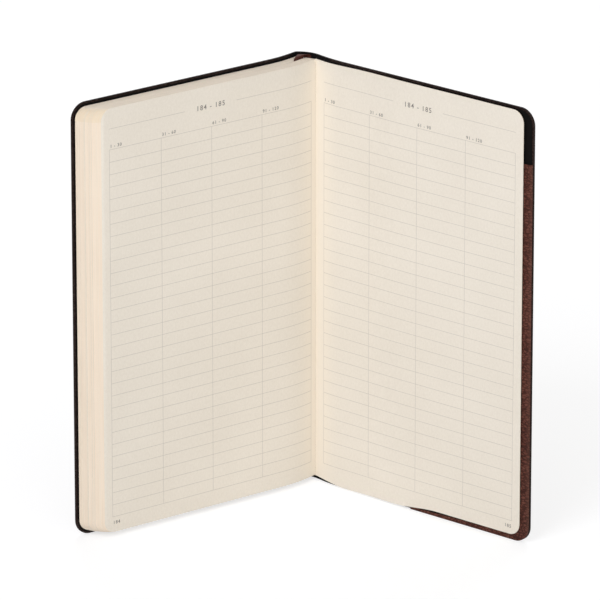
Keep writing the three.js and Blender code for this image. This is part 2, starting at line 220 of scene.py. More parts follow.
# The back line is the outer surface of the spine strip and the back cover
def back_heading(s):
    strip = SPINE_START + (SPINE_END - SPINE_START) * s / spine_width
    panel = -(BACK_OPENING + BACK_BEND * fall((s - spine_width) / BACK_BEND_LENGTH))
    return np.where(s < spine_width, strip, panel)


back_end = spine_width + COVER_WIDTH
back = PlanLine(FRONT_HINGE, back_heading, back_end, -1)
back_bend_end = spine_width + BACK_BEND_LENGTH
pocket_start = back_end - POCKET_WIDTH
back_root = back.at(spine_width, 0.0)
gutter_along = spine_width + (GUTTER - back_root) @ back.direction(spine_width)
back_edge = gutter_along + PAGE_WIDTH - GUTTER_TUCK


def pocket_rise(s):
    """How much higher the back half's leaves lie, to clear the pocket."""
    share = (s - back_bend_end) / (pocket_start - back_bend_end)
    return pocket_clearance * (1 - fall(share))


fold_radius = np.linalg.norm(FOLD_AXIS - back_root) + FOLD_CLEARANCE


def along_at_radius(height, radius):
    """Where a layer beside the back line is as far as radius from the line that it turns about."""

    def reach(s):
        return float(np.linalg.norm(back.at(s, height) - FOLD_AXIS))

    low, high = spine_width, spine_width + 3 * fold_radius
    while low < high and reach(low + 0.5) <= reach(low):
        low += 0.5
    for _ in range(40):
        middle = (low + high) / 2
        low, high = (middle, high) if reach(middle) < radius else (low, middle)
    return low


leaf_start = along_at_radius(right_page, fold_radius + HINGE_GAP)
cover_start = along_at_radius(0.0, fold_radius + HINGE_GAP)
noise = random.Random(11)


# Materials
class Nodes:
    """Short names for the shader nodes used below."""

    def __init__(self, name, colour, roughness, specular=0.5):
        self.material = bpy.data.materials.new(name)
        self.material.use_nodes = True
        self.material.diffuse_color = (*colour, 1)
        self.tree = self.material.node_tree
        self.shader = self.tree.nodes["Principled BSDF"]
        self.shader.inputs["Roughness"].default_value = roughness
        self.shader.inputs["Base Color"].default_value = (*colour, 1)
        self.shader.inputs["Specular IOR Level"].default_value = specular

    def put(self, kind, values=(), **settings):
        node = self.tree.nodes.new(kind)
        for key, value in settings.items():
            setattr(node, key, value)
        for key, value in dict(values).items():
            socket = node.inputs[key]
            if isinstance(value, bpy.types.NodeSocket):
                self.tree.links.new(value, socket)
            else:
                socket.default_value = value
        return node

    def math(self, operation, *values):
        return self.put("ShaderNodeMath", enumerate(values), operation=operation).outputs[0]

    def off(self, value, middle):
        """How far a value is from the middle, on either side."""
        return self.math("ABSOLUTE", self.math("SUBTRACT", value, middle))

    def step(self, value, low, high):
        """0 below low and 1 above high, or the other way round."""
        values = {0: value, 1: low, 2: high, 3: 0.0, 4: 1.0}
        node = self.put("ShaderNodeMapRange", values, interpolation_type="SMOOTHSTEP")
        return node.outputs[0]

    def between(self, value, start, end):
        """1 between two edges, each given by the places where it is 0 and where it is 1."""
        return self.math("MULTIPLY", self.step(value, *start), self.step(value, *end))

    def ramp(self, value, *stops):
        node = self.put("ShaderNodeValToRGB", {0: value})
        elements = node.color_ramp.elements
        while len(elements) < len(stops):
            elements.new(0.5)
        for element, (place, colour) in zip(elements, stops):
            element.position = place
            element.color = (*colour, 1)
        return node.outputs[0]

    def mix(self, share, a, b):
        """From colour a to colour b. a comes from a node, and b is plain."""
        node = self.put("ShaderNodeMix", data_type="RGBA", blend_type="MIX")
        self.tree.links.new(share, node.inputs[0])
        self.tree.links.new(a, node.inputs[6])
        node.inputs[7].default_value = (*b, 1)
        return node.outputs[2]

    def texture(self, where, scale, detail=4.0, rough=0.55):
        values = {"Vector": where, "Scale": scale, "Detail": detail, "Roughness": rough}
        return self.put("ShaderNodeTexNoise", values).outputs["Fac"]

    def stretch(self, where, scale):
        node = self.put("ShaderNodeVectorMath", {0: where, 1: scale}, operation="MULTIPLY")
        return node.outputs[0]

    def place(self, flat=True):
        """Where a point lies on the piece laid flat, or in the object, in millimetres."""
        if flat:
            return self.put("ShaderNodeAttribute", attribute_name="flat").outputs["Vector"]
        inside = self.put("ShaderNodeTexCoord").outputs["Object"]
        return self.stretch(inside, (1 / METRE,) * 3)

    def split(self, where):
        """The three parts of a place: across, off the surface and up."""
        return self.put("ShaderNodeSeparateXYZ", {0: where}).outputs

    def bump(self, height, distance, strength=1.0):
        values = {"Height": height, "Distance": distance * METRE, "Strength": strength}
        bent = self.put("ShaderNodeBump", values).outputs[0]
        self.tree.links.new(bent, self.shader.inputs["Normal"])

    def colour(self, socket):
        self.tree.links.new(socket, self.shader.inputs["Base Color"])


def printed_lines(n, across, up):
    """1 on the ruled table and on the lines beside the heading, and 0 elsewhere."""
    half, soft = RULE_WIDTH / 2, RULE_SOFTNESS
    first, last = COLUMNS[0], COLUMNS[-1]
    down = n.math("SUBTRACT", PAGE_HEAD, up)
    near = n.math("PINGPONG", n.math("SUBTRACT", down, TABLE_TOP), ROW / 2)
    rows = n.step(near, half + soft, half - soft)
    in_rows = n.between(
        down, (TABLE_TOP - 1, TABLE_TOP - 0.5), (TABLE_END + 1, TABLE_END + 0.5)
    )
    in_width = n.between(across, (first - half, first), (last + half, last))
    ink = n.math("MULTIPLY", rows, n.math("MULTIPLY", in_rows, in_width))
    in_table = n.between(down, (TABLE_TOP - half, TABLE_TOP), (TABLE_END + half, TABLE_END))
    for column in COLUMNS:
        line = n.step(n.off(across, column), half + soft, half - soft)
        ink = n.math("MAXIMUM", ink, n.math("MULTIPLY", line, in_table))
    header = n.step(n.off(down, HEADER), half + soft, half - soft)
    centre = (first + last) / 2
    reach = centre - first
    sides = n.between(
        n.off(across, centre), (TITLE_GAP - half, TITLE_GAP), (reach + half, reach)
    )
    return n.math("MAXIMUM", ink, n.math("MULTIPLY", header, sides))


def page_material(name, ruled):
    """Cream paper with painted light near the gutter, a warmer and lighter tint that stands for
    light bounced between the pages, and a ruled table where ruled is true.
    """
    n = Nodes(name, (0.787, 0.724, 0.630), 0.86, 0.3)
    flat = n.place()
    fibres = n.texture(n.stretch(flat, (0.9, 1.0, 0.6)), 1.1, 6.0, 0.75)
    cloud = n.texture(flat, 0.02, 3.0)
    tooth = n.math("MULTIPLY_ADD", cloud, 0.3, n.math("MULTIPLY", fibres, 0.7))
    paper = n.ramp(tooth, (0.3, (0.737, 0.674, 0.579)), (0.7, (0.836, 0.775, 0.681)))
    across, _, up = n.split(flat)
    # Painted light: the paper turns warmer and lighter towards the gutter, for the light bounced
    # between the facing pages.
    gutter_glow = n.step(across, PAGE_WIDTH - 20, PAGE_WIDTH - GUTTER_TUCK)
    paper = n.mix(n.math("MULTIPLY", gutter_glow, 0.8), paper, (0.90, 0.82, 0.70))
    if ruled:
        ink = n.math("MULTIPLY", printed_lines(n, across, up), 0.5)
        paper = n.mix(ink, paper, (0.29, 0.255, 0.225))
    n.colour(paper)
    n.bump(fibres, 0.02, 0.35)
    return n.material


def edge_material(name, dark, plain, light, corner=None):
    """Cut edges of the leaves: streaks that follow each leaf, and a tint near the corners."""
    n = Nodes(name, plain, 0.82, 0.3)
    flat = n.place()
    layers = n.texture(n.stretch(flat, (0.012, 9.0, 0.012)), 1.0, 5.0, 0.75)
    wide = n.texture(n.stretch(flat, (0.02, 1.6, 0.02)), 1.0, 3.0, 0.5)
    both = n.math("MULTIPLY_ADD", layers, 0.6, n.math("MULTIPLY", wide, 0.4))
    paper = n.ramp(both, (0.32, dark), (0.5, plain), (0.7, light))
    if corner:
        across = n.split(flat)[0]
        near = n.math("MULTIPLY", n.step(across, PAGE_CORNER, 0.4 * PAGE_CORNER), 0.75)
        paper = n.mix(near, paper, corner)
    n.colour(paper)
    n.bump(layers, 0.05, 0.6)
    return n.material


LEATHER = (0.078, 0.027, 0.019)
LEATHER_WORN = (0.15, 0.068, 0.049)
LEATHER_TONES = (
    (0.30, (0.022, 0.007, 0.005)),
    (0.52, (0.052, 0.0152, 0.0100)),
    (0.68, (0.095, 0.0305, 0.0208)),
    (0.86, (0.165, 0.064, 0.046)),
)
LEATHER_WEAR = 2.4  # width over which the leather is worn beside a fold


def leather_material(name, edge_paint_and_shade=(1.0, 1.0, 1.0)):
    """Dark brown leather-like sheet, with creases that run mostly level. Its last argument darkens
    it; on the cover's edges this darkening is their edge paint together with painted shade.
    """

    def darkened(colour):
        return tuple(c * share for c, share in zip(colour, edge_paint_and_shade))

    n = Nodes(name, darkened(LEATHER), 0.55, 0.1)
    flat = n.place()
    wavy = n.put("ShaderNodeTexNoise", {"Vector": flat, "Scale": 0.35, "Detail": 3.0})
    moved = {0: wavy.outputs["Color"], 1: (1.6, 1.6, 1.6), 2: flat}
    bent = n.put("ShaderNodeVectorMath", moved, operation="MULTIPLY_ADD").outputs[0]
    grain = {"Vector": n.stretch(bent, (0.42, 0.42, 1.0)), "Scale": 0.95}
    cells = n.put("ShaderNodeTexVoronoi", grain, feature="DISTANCE_TO_EDGE")
    pebble = n.step(cells.outputs["Distance"], 0.0, 0.22)
    creases = n.texture(n.stretch(flat, (0.3, 0.3, 1.5)), 0.9, 5.0, 0.7)
    fine = n.texture(flat, 3.0, 4.0, 0.6)
    patch = n.texture(flat, 0.03, 3.0, 0.5)
    height = n.math("MULTIPLY_ADD", fine, 0.35, n.math("MULTIPLY_ADD", creases, 1.1, pebble))
    tone = n.math("MULTIPLY_ADD", patch, 0.4, n.math("MULTIPLY", height, 0.32))
    hide = n.ramp(tone, *[(place, darkened(colour)) for place, colour in LEATHER_TONES])
    along = n.split(flat)[0]
    folds = [
        n.step(n.off(along, fold), LEATHER_WEAR, 0.0) for fold in (0.0, float(spine_width))
    ]
    wear = n.math("MULTIPLY", n.math("MAXIMUM", *folds), n.math("MULTIPLY", fine, 0.5))
    n.colour(n.mix(wear, hide, darkened(LEATHER_WORN)))
    n.bump(height, 0.09, 0.9)
    return n.material


def black_paper_material(name, flat):
    n = Nodes(name, (0.005, 0.0045, 0.0042), 0.9, 0.08)
    fibres = n.texture(n.place(flat), 1.8, 6.0, 0.7)
    n.colour(n.ramp(fibres, (0.3, (0.003, 0.0027, 0.0025)), (0.75, (0.008, 0.007, 0.0065))))
    n.bump(fibres, 0.03, 0.5)
    return n.material


def ribbon_material():
    """Ribbed satin weave, by the threads' spacing along and across the ribbon."""
    rib, warp = 0.28, 0.16
    n = Nodes("ribbon_weave", (0.07, 0.020, 0.013), 0.6, 0.15)
    across, _, along = n.split(n.place())
    ribs = n.math("SINE", n.math("MULTIPLY", along, 2 * math.pi / rib))
    threads = n.math("SINE", n.math("MULTIPLY", across, 2 * math.pi / warp))
    weave = n.math("MULTIPLY_ADD", n.math("MULTIPLY", ribs, threads), 0.25, 0.5)
    n.colour(n.ramp(weave, (0.2, (0.042, 0.010, 0.007)), (0.8, (0.095, 0.028, 0.018))))
    n.bump(weave, 0.05, 0.7)
    return n.material


def thread_material():
    """Waxed thread, with its twist as slanting bands."""
    n = Nodes("waxed_thread", (0.78, 0.72, 0.60), 0.6)
    x, _, z = n.split(n.place(False))
    slant = n.math("ADD", n.math("MULTIPLY", x, 9.0), n.math("MULTIPLY", z, 14.0))
    twist = n.math("MULTIPLY_ADD", n.math("SINE", slant), 0.5, 0.5)
    n.colour(n.ramp(twist, (0.1, (0.55, 0.48, 0.37)), (0.8, (0.82, 0.76, 0.64))))
    n.bump(twist, 0.05)
    return n.material


def lining_material():
    n = Nodes("crepe_lining", (0.68, 0.64, 0.55), 0.9)
    crepe = n.texture(n.stretch(n.place(False), (1.0, 1.0, 3.0)), 1.2, 4.0, 0.6)
    n.colour(n.ramp(crepe, (0.3, (0.56, 0.52, 0.44)), (0.7, (0.74, 0.70, 0.61))))
    n.bump(crepe, 0.1, 0.8)
    return n.material


def ink_material():
    n = Nodes("printing_ink", (0.22, 0.20, 0.18), 0.8)
    speck = n.texture(n.place(False), 6.0, 3.0)
    n.colour(n.ramp(speck, (0.3, (0.17, 0.15, 0.135)), (0.7, (0.27, 0.245, 0.22))))
    return n.material


plain_page = page_material("page_paper", False)
ruled_page = page_material("ruled_page_paper", True)
edges = edge_material(
    "page_edges",
    dark=(0.75, 0.64, 0.52),
    plain=(0.84, 0.735, 0.615),
    light=(0.90, 0.80, 0.69),
    corner=(0.82, 0.665, 0.47),
)
fore_edges = edge_material(
    "page_fore_edges",
    dark=(0.78, 0.635, 0.485),
    plain=(0.855, 0.72, 0.575),
    light=(0.885, 0.765, 0.63),
)
leather = leather_material("cover_leather")
pocket_leather = leather_material("pocket_leather")
# The cover's edges, darkened for their edge paint and for painted shade on the head, tail and
# fore-edge faces.
dark_edge = leather_material("cover_edge_leather", edge_paint_and_shade=(0.22, 0.36, 0.43))
black_flat = black_paper_material("flyleaf_black", True)
black = black_paper_material("endpaper_black", False)
ribbon_weave = ribbon_material()
ink = ink_material()

# A leaf's plain face, its edge at the head, its printed face and its other cut edges
paper_set = [plain_page, edges, ruled_page, fore_edges]
# The cover's outside, its lined inside and its edges
cover_set = [leather, black_flat, dark_edge]


# Meshes
def make_mesh(name, sheet, materials, sharp=35):
    """A mesh object from corners, faces, each face's material and each corner's flat place. flat
    is the place across, off and up the sheet, which the materials read."""
    verts, faces, chosen, flat = sheet
    data = bpy.data.meshes.new(name)
    data.from_pydata([tuple(np.asarray(v) * METRE) for v in verts], [], faces)
    for material in materials:
        data.materials.append(material)
    data.polygons.foreach_set("material_index", chosen)
    attribute = data.attributes.new("flat", "FLOAT_VECTOR", "POINT")
    attribute.data.foreach_set("vector", np.asarray(flat, np.float32).ravel())
    data.shade_smooth()
    data.set_sharp_from_angle(angle=math.radians(sharp))
    data.update()
    piece = bpy.data.objects.new(name, data)
    bpy.context.scene.collection.objects.link(piece)
    return piece


def soften(piece, width):
    """Rounds the piece's sharp edges a little."""
    modifier = piece.modifiers.new("edges", "BEVEL")
    modifier.width = width * METRE
    modifier.segments = 2
    modifier.limit_method = "ANGLE"
    modifier.angle_limit = math.radians(40)


def marks_along(start, turns, end, corner, corner_steps):
    """Distances along a line at which a layer has corners: evenly up to each turn, each given with
    its number of steps, and then round the corner of the outline."""
    marks, last = [], start
    for turn, steps in turns:
        marks += [last + (turn - last) * i / steps for i in range(steps)]
        last = turn
    marks.append(last)
    if corner:
        angles = [math.pi / 2 * i / corner_steps for i in range(corner_steps + 1)]
        marks += [end - corner * (1 - math.sin(angle)) for angle in angles]
    elif end > last:
        marks.append(end)
    return np.array(marks)


def corner_cut(s, end, corner):
    """How far a rounded corner cuts in from head and tail, at a distance along a line."""
    inside = np.clip(corner - (end - s), 0, corner)
    return corner - np.sqrt(np.maximum(corner**2 - inside**2, 0))


def values_at(s, value):
    """A value for each distance along a line, from a function of it or from one number."""
    return value(s) if callable(value) else np.full(len(s), float(value))


class Stack:
    """Collects closed layers beside a line into one mesh."""

    def __init__(self):
        self.verts, self.faces, self.chosen, self.flat = [], [], [], []

    def add(self, line, heights, starts, ends, turns, corner, tail, head, skins,
            flat_end=None, steps=BEND_STEPS):
        """heights, starts and ends are the lower and the upper face's. skins are the numbers of
        the materials of the lower face, head, upper face, tail, and the two ends."""
        rails = []
        for height, start, end in zip(heights, starts, ends):
            paced = [(turn, steps) for turn in turns]
            s = marks_along(start, paced, end, corner, CORNER_STEPS)
            h = values_at(s, height)
            cut = corner_cut(s, end, corner)
            low, high = values_at(s, tail) + cut, values_at(s, head) - cut
            u = (end if flat_end is None else flat_end) - s
            rails.append((line.at(s, h), h, low, high, u))
        base = len(self.verts)
        (p, h, a, b, u), (P, H, A, B, U) = rails
        for i in range(len(p)):
            self.verts += [(*p[i], a[i]), (*p[i], b[i]), (*P[i], B[i]), (*P[i], A[i])]
            self.flat += [(u[i], h[i], a[i]), (u[i], h[i], b[i])]
            self.flat += [(U[i], H[i], B[i]), (U[i], H[i], A[i])]
        turn = 1 if line.side < 0 else -1
        for i in range(len(p) - 1):
            for j in range(4):
                k, m = base + 4 * i + j, base + 4 * i + (j + 1) % 4
                self.faces.append((k, m, m + 4, k + 4)[::turn])
                self.chosen.append(skins[j])
        last = base + 4 * (len(p) - 1)
        self.faces.append((base + 3, base + 2, base + 1, base)[::turn])
        self.faces.append((last, last + 1, last + 2, last + 3)[::turn])
        self.chosen += [skins[4], skins[5]]

    def build(self, name, materials, node, slot_name):
        """Makes the piece that stands for a node and hides that node's part. slot_name, the finish
        of a slot, is not used.
        """
        piece = make_mesh(name, (self.verts, self.faces, self.chosen, self.flat), materials)
        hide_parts(node)
        return piece


def blended(piece, a, b, start, end):
    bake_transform(piece)


# Cover
def cover_sheet(outer, inner, place, cut, lined):
    """A closed sheet through the plan points of its two faces. place is the distance along the
    sheet, cut what its corners take off head and tail, and lined how many strips have black paper
    inside."""
    verts, flat, faces, chosen = [], [], [], []
    count = len(outer)
    for p, q, u, low in zip(outer, inner, place, cut):
        high = COVER_HEIGHT - low
        verts += [(*p, low), (*p, high), (*q, high), (*q, low)]
        flat += [(u, 0, low), (u, 0, high), (u, COVER, high), (u, COVER, low)]
    for i in range(count - 1):
        for j in range(4):
            k, m = 4 * i + j, 4 * i + (j + 1) % 4
            faces.append((k, m, m + 4, k + 4))
            chosen.append(0 if j == 0 else 1 if j == 2 and i < lined else 2)
    last = 4 * (count - 1)
    faces.append((3, 2, 1, 0))
    faces.append((last, last + 1, last + 2, last + 3))
    chosen += [2, 2]
    return verts, faces, chosen, flat


def build_front_cover():
    """From the middle of the spine strip round the front hinge to the fore-edge. Near the hinge
    each face is a curve drawn towards its corner, which makes the fold round."""
    opening = math.radians(360 - (front_heading(0) - SPINE_START))
    mitre = COVER / math.tan(opening / 2)
    fold = mitre + FOLD_REACH
    strip = np.linspace(spine_width / 2, fold, STRIP_POINTS)
    outer = [back.at(s, 0.0) for s in strip]
    inner = [back.at(s, COVER) for s in strip]
    place = [-s for s in strip]
    corners = FRONT_HINGE, front.at(mitre, COVER)
    for i in range(1, COVER_FOLD_STEPS):
        t = i / COVER_FOLD_STEPS
        for face, corner, height in zip((outer, inner), corners, (0.0, COVER)):
            first, second = back.at(fold, height), front.at(fold, height)
            face.append((1 - t) ** 2 * first + 2 * t * (1 - t) * corner + t**2 * second)
        place.append((t - 0.5) * 2 * fold)
    turns = [(FRONT_BEND_LENGTH, FRONT_COVER_STEPS)]
    marks = marks_along(fold, turns, COVER_WIDTH, COVER_CORNER, COVER_CORNER_STEPS)
    bare_start = len(place)
    outer += list(front.at(marks, 0 * marks))
    inner += list(front.at(marks, 0 * marks + COVER))
    place += list(marks)
    cut = [0.0] * bare_start + list(corner_cut(marks, COVER_WIDTH, COVER_CORNER))
    sheet = cover_sheet(outer, inner, place, cut, lined=bare_start + 2)
    piece = make_mesh("front_cover_leather", sheet, cover_set)
    soften(piece, COVER_BEVEL)
    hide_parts("front_cover_skin", "spine_skin")
    return piece


def build_back_cover():
    """From the middle of the spine strip to the fore-edge."""
    turns = [(spine_width, STRIP_POINTS), (back_bend_end, BACK_COVER_STEPS)]
    marks = marks_along(spine_width / 2, turns, back_end, COVER_CORNER, COVER_CORNER_STEPS)
    cut = corner_cut(marks, back_end, COVER_CORNER)
    lined = int(np.sum(marks < cover_start + BLACK_REACH))
    outer, inner = back.at(marks, 0 * marks), back.at(marks, 0 * marks + COVER)
    sheet = cover_sheet(outer, inner, marks, cut, lined)
    piece = make_mesh("back_cover_leather", sheet, cover_set)
    soften(piece, COVER_BEVEL)
    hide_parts("back_cover_skin")
    return piece


front_cover = build_front_cover()
back_cover = build_back_cover()

mid_cover = COVER / 2
before, after = FRONT_LEATHER_TURN
turn_start, turn_end = back.at(before, mid_cover), front.at(after, mid_cover)
blended(front_cover, "text_block", "front_cover", turn_start, turn_end)
before, after = BACK_LEATHER_TURN
turn_start = back.at(spine_width - before, mid_cover)
turn_end = back.at(cover_start + after, mid_cover)
blended(back_cover, "text_block", "back_cover", turn_start, turn_end)


# Leaves
def close_slot(s, h):
    """The leaves under the ribbon's slot spread to fill it where the ribbon doesn't lie."""
    share = slot / (section_height(RIBBON_AFTER) - slot - block)
    return h + (h - block) * share * (1 - fall((s - SLOT_OPEN) / SLOT_CLOSING))


def over_pocket(s, h):
    return h + pocket_rise(s)


def lift(s):
    return LIFT * (1 - fall((s - gutter_along) / LIFT_LENGTH))


def sagging_tail(s):
    """The right-hand leaves sag until they nearly stand on the floor, as far as the pocket."""
    from_gutter = 1 - fall((s - gutter_along) / SAG_LENGTH)
    share = SAG_AT_GUTTER + (1 - SAG_AT_GUTTER) * from_gutter
    to_pocket = fall((s - pocket_start + SAG_BEFORE_POCKET) / SAG_END_LENGTH)
    return PAGE_TAIL + lift(s) - SAG * share * to_pocket


def lifted_head(s):
    return PAGE_HEAD + lift(s)


def added(shape, change):
    """A value, or a function of the distance along a line, with a change added."""
    return (lambda s: shape(s) + change) if callable(shape) else shape + change


def leaves(count, low, line, start_of, end_of, turns, skins_of, rise=None,
           spread=EDGE_SPREAD, tail=PAGE_TAIL, head=PAGE_HEAD):
    """Leaves on each other, each cut slightly differently. start_of and end_of give a height's
    ends along the line, and rise the height that a leaf has at a distance along it."""
    stack = Stack()
    for k in range(count):
        faces = low + k * LEAF, low + (k + 1) * LEAF - LEAF_AIR
        move = noise.gauss(0, spread)
        move = max(-2 * spread, min(2 * spread, move)) - spread
        up, down = noise.uniform(*HEAD_SPREAD), noise.uniform(*TAIL_SPREAD)
        stack.add(
            line,
            faces if rise is None else [lambda s, h=h: rise(s, h) for h in faces],
            [start_of(h) for h in faces],
            [end_of(h) + move for h in faces],
            turns,
            PAGE_CORNER,
            added(tail, down),
            added(head, up),
            skins_of(k == count - 1),
            flat_end=end_of(faces[1]),
        )
    return stack


# Numbers in paper_set of a leaf's lower face, head, upper face, tail, root and fore-edge
def unruled(on_top):
    return 0, 1, 0, 3, 0, 3


def top_ruled(on_top):
    return 0, 1, 2 if on_top else 0, 3, 0, 3


def both_ruled(on_top):
    return 2, 1, 2, 3, 0, 3


front_turns = [FRONT_BEND_LENGTH]
slot_turns = [SLOT_OPEN, FRONT_BEND_LENGTH, SLOT_CLOSED]
back_turns = [back_bend_end, pocket_start, pocket_start + FINE_PAST_POCKET]
right_shape = dict(tail=sagging_tail, head=lifted_head)


def back_root_of(h):
    return leaf_start


def back_edge_of(h):
    return back_edge


for i in range(SECTIONS - 1):
    filled = close_slot if i < RIBBON_AFTER else None
    stack = leaves(SECTION_LEAVES, section_height(i), front, root_along, front_edge,
                   slot_turns, unruled, filled)
    node = f"section_{i + 1:02d}"
    piece = stack.build(f"{node}_leaves", paper_set, node, "page_paper")
    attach(piece, "text_block")

stack = leaves(HALF_LEAVES, front_half, front, root_along, front_edge, front_turns, top_ruled)
piece = stack.build("section_12_front_leaves", paper_set, "section_12_front", "page_paper")
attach(piece, "text_block")


def left_root(h):
    """The left page reaches a little further into the gutter, to meet the fold."""
    return root_along(h) - 2 * LAYER_GAP


stack = leaves(1, left_leaf, front, left_root, front_edge, front_turns, both_ruled, spread=0)
piece = stack.build("left_page", paper_set, "left_leaf", "page_paper")
turn_start = front.at(root_along(left_page), left_page)
turn_end = front.at(LEFT_PAGE_TURN_END, left_page)
blended(piece, "text_block", "left_leaf", turn_start, turn_end)

# The fold of the opened section, from the gutter to where its leaves start to turn
stack = Stack()
stack.add(
    back,
    (back_half, right_page),
    (gutter_along,) * 2,
    (leaf_start,) * 2,
    [leaf_start],
    0,
    sagging_tail,
    lifted_head,
    (0, 1, 2, 1, 0, 0),
    flat_end=back_edge,
    steps=LONG_BEND_STEPS,
)
piece = stack.build("section_12_fold_leaves", paper_set, "section_12_fold", "page_paper")
turn_start = back.at(gutter_along, right_page)
turn_end = back.at(leaf_start - OPEN_FOLD_SPARE, right_page)
blended(piece, "text_block", "back_cover", turn_start, turn_end)

# Every leaf of the back half is given the same two points of its turn, which blended doesn't use
turn_start = back.at(leaf_start, right_page)
right_turn = turn_start, back.at(leaf_start + RIGHT_TURN_LENGTH, right_page)

stack = leaves(HALF_LEAVES, back_half, back, back_root_of, back_edge_of, back_turns, top_ruled,
               over_pocket, **right_shape)
piece = stack.build("section_12_back_leaves", paper_set, "section_12_back", "page_paper")
blended(piece, "back_cover", "back_section", *right_turn)

stack = leaves(1, right_leaf, back, back_root_of, back_edge_of, back_turns, both_ruled,
               over_pocket, spread=0, **right_shape)
piece = stack.build("right_page", paper_set, "right_leaf", "page_paper")
blended(piece, "back_section", "right_leaf", *right_turn)


# Flyleaves
def build_flyleaves():
    stack = Stack()
    faces = (front_flyleaf, front_flyleaf + ENDPAPER)
    stack.add(
        front,
        faces,
        [root_along(h) for h in faces],
        [front_edge(h) for h in faces],
        front_turns,
        PAGE_CORNER,
        PAGE_TAIL,
        PAGE_HEAD,
        (0,) * 6,
    )
    piece = stack.build("front_flyleaf_sheet", [black_flat], "front_flyleaf", "black_paper")
    root = front.at(ROOT_INSET, front_flyleaf)
    bent = front.at(FRONT_FLYLEAF_TURN_END, front_flyleaf)
    blended(piece, "text_block", "front_flyleaf", root, bent)

    # The back one is a trace shorter than the leaves before it, at the tail and the head
    stack = Stack()
    faces = (back_flyleaf, back_flyleaf + ENDPAPER)
    stack.add(
        back,
        [lambda s, h=h: over_pocket(s, h) for h in faces],
        (leaf_start,) * 2,
        (back_edge,) * 2,
        [back_bend_end, pocket_start],
        PAGE_CORNER,
        added(sagging_tail, 0.2),
        added(lifted_head, -0.1),
        (0,) * 6,
    )
    piece = stack.build("back_flyleaf_sheet", [black_flat], "back_flyleaf", "black_paper")
    blended(piece, "back_cover", "back_flyleaf", *right_turn)


build_flyleaves()


# Pocket
def build_pocket():
    def head(s):
        """The free edge is a quarter ellipse."""
        share = np.sqrt(np.maximum(1 - ((back_end - s) / POCKET_WIDTH) ** 2, 0))
        return POCKET_HEIGHT * share + corner_cut(s, back_end, COVER_CORNER)

    # The ellipse is steepest at its start, so it gets its shortest steps there
    turns = [
        pocket_start + POCKET_WIDTH / 40,
        pocket_start + POCKET_WIDTH / 6,
        back_end - 1.5 * COVER_CORNER,
    ]
    stack = Stack()
    stack.add(
        back,
        (pocket_base, pocket_base + POCKET_THICKNESS),
        (pocket_start + POCKET_TIP,) * 2,
        (back_end,) * 2,
        turns,
        COVER_CORNER,
        0,
        head,
        (0,) * 6,
        flat_end=back_end,
        steps=LONG_BEND_STEPS,
    )
    pocket_set = [pocket_leather]
    piece = stack.build("corner_pocket_leather", pocket_set, "corner_pocket", "cover_leather")
    soften(piece, POCKET_BEVEL)
    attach(piece, "back_cover")


build_pocket()


# Ribbon
def ribbon_route():
    """The ribbon's two edges, from behind the block over its head and down into the slot."""
    slot_middle = section_height(RIBBON_AFTER) - (slot + LAYER_GAP) / 2
    into = [front.at(ROOT_INSET + k * RIBBON_WIDTH, slot_middle) for k in (0, 1)]
    start, height = spine_width / 6, COVER + RIBBON_THICKNESS
    strip = [back.at(start + k * RIBBON_WIDTH, height) for k in (1, 0)]
    head, rise = PAGE_HEAD, RIBBON_RISE
    # Shares of the way from behind the block to the slot, each with its height
    route = [
        (0, head - RIBBON_GLUE),
        (0, head - RIBBON_DIP / 2),
        (0, head + 0.2 * rise),
        (0.06, head + 0.6 * rise),
        (0.2, head + 0.9 * rise),
        (0.45, head + rise),
        (0.7, head + 0.95 * rise),
        (0.9, head + 0.75 * rise),
        (0.98, head + 0.45 * rise),
        (1, head),
        (1, head - RIBBON_DIP),
        (1, PAGE_TAIL + RIBBON_TAIL),
    ]
    points = [[(*(strip[k] * (1 - t) + into[k] * t), z) for k in (0, 1)] for t, z in route]
    return np.array(points, float)


def smooth_bend(points):
    """More points on one smooth curve through the bend, and none along the straight runs."""
    straight = 5  # the length from which a run is straight

    def run(i):
        return np.linalg.norm(points[i + 1][0] - points[i][0])

    fine = []
    for i in range(len(points) - 1):
        p1, p2 = points[i], points[i + 1]
        if run(i) > straight:
            fine.append(p1)
            continue
        inside = 0 < i < len(points) - 2
        curved = inside and run(i - 1) < straight and run(i + 1) < straight
        for k in range(RIBBON_STEPS):
            t = k / RIBBON_STEPS
            if not curved:
                fine.append(p1 * (1 - t) + p2 * t)
                continue
            p0, p3 = points[i - 1], points[i + 2]
            fine.append(0.5 * (2 * p1 + (p2 - p0) * t + (2 * p0 - 5 * p1 + 4 * p2 - p3) * t * t
                               + (3 * p1 - p0 - 3 * p2 + p3) * t**3))
    fine.append(points[-1])
    return np.array(fine)


def build_ribbon():
    """A woven band that is a little thinner at its two selvedges."""
    fine = smooth_bend(ribbon_route())
    verts, faces, flat = [], [], []
    length = 0.0
    for i, (a, b) in enumerate(fine):
        before, after = fine[max(i - 1, 0)], fine[min(i + 1, len(fine) - 1)]
        half = np.cross((after - before).sum(0), b - a)
        half = half / np.linalg.norm(half) * RIBBON_HALF
        if i:
            length += np.linalg.norm(fine[i].mean(0) - fine[i - 1].mean(0))
        for side in (1, -1):
            for c in range(RIBBON_COLUMNS + 1):
                t = c / RIBBON_COLUMNS
                t = t if side > 0 else 1 - t
                thin = 1 - SELVEDGE_THINNING * abs(2 * t - 1) ** SELVEDGE_POWER
                verts.append(tuple(a * (1 - t) + b * t + side * half * thin))
                flat.append((t * RIBBON_WIDTH, side * RIBBON_THICKNESS / 2, length))
    ring = 2 * (RIBBON_COLUMNS + 1)
    for i in range(len(fine) - 1):
        for j in range(ring):
            k, m = i * ring + j, i * ring + (j + 1) % ring
            faces.append((k, m, m + ring, k + ring))
    faces.append(tuple(range(ring))[::-1])
    faces.append(tuple((len(fine) - 1) * ring + j for j in range(ring)))
    piece = make_mesh("ribbon", (verts, faces, [0] * len(faces), flat), [ribbon_weave], 60)
    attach(piece, "text_block")
    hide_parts("ribbon_bookmark")


build_ribbon()


